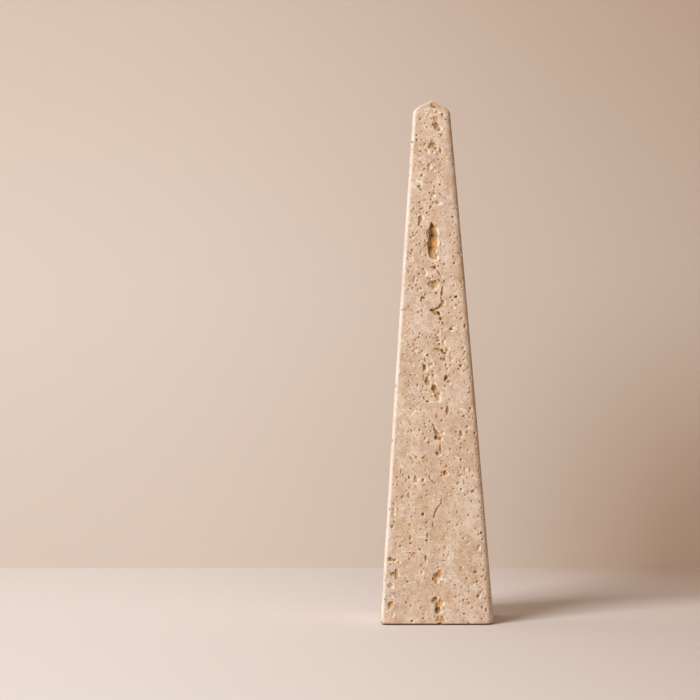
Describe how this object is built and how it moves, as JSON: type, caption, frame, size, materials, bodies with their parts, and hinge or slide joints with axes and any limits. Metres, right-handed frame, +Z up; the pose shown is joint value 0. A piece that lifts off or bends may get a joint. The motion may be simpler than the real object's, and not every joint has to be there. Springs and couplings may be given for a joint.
{
  "type": "decorative travertine obelisk",
  "caption": "Slim four-sided tabletop obelisk cut from one block of pitted travertine, tapering to a low point.",
  "frame": {"origin": "middle of the foot, on the surface that the obelisk stands on", "axes": "+Z up to the tip, -Y out of the front side, +X to the right seen from the front"},
  "size_m": [0.0862, 0.0862, 0.4],
  "materials": {
    "stone": "honed, unfilled"
  },
  "bodies": {
    "root": {"obelisk": "stone"}
  },
  "joints": []
}
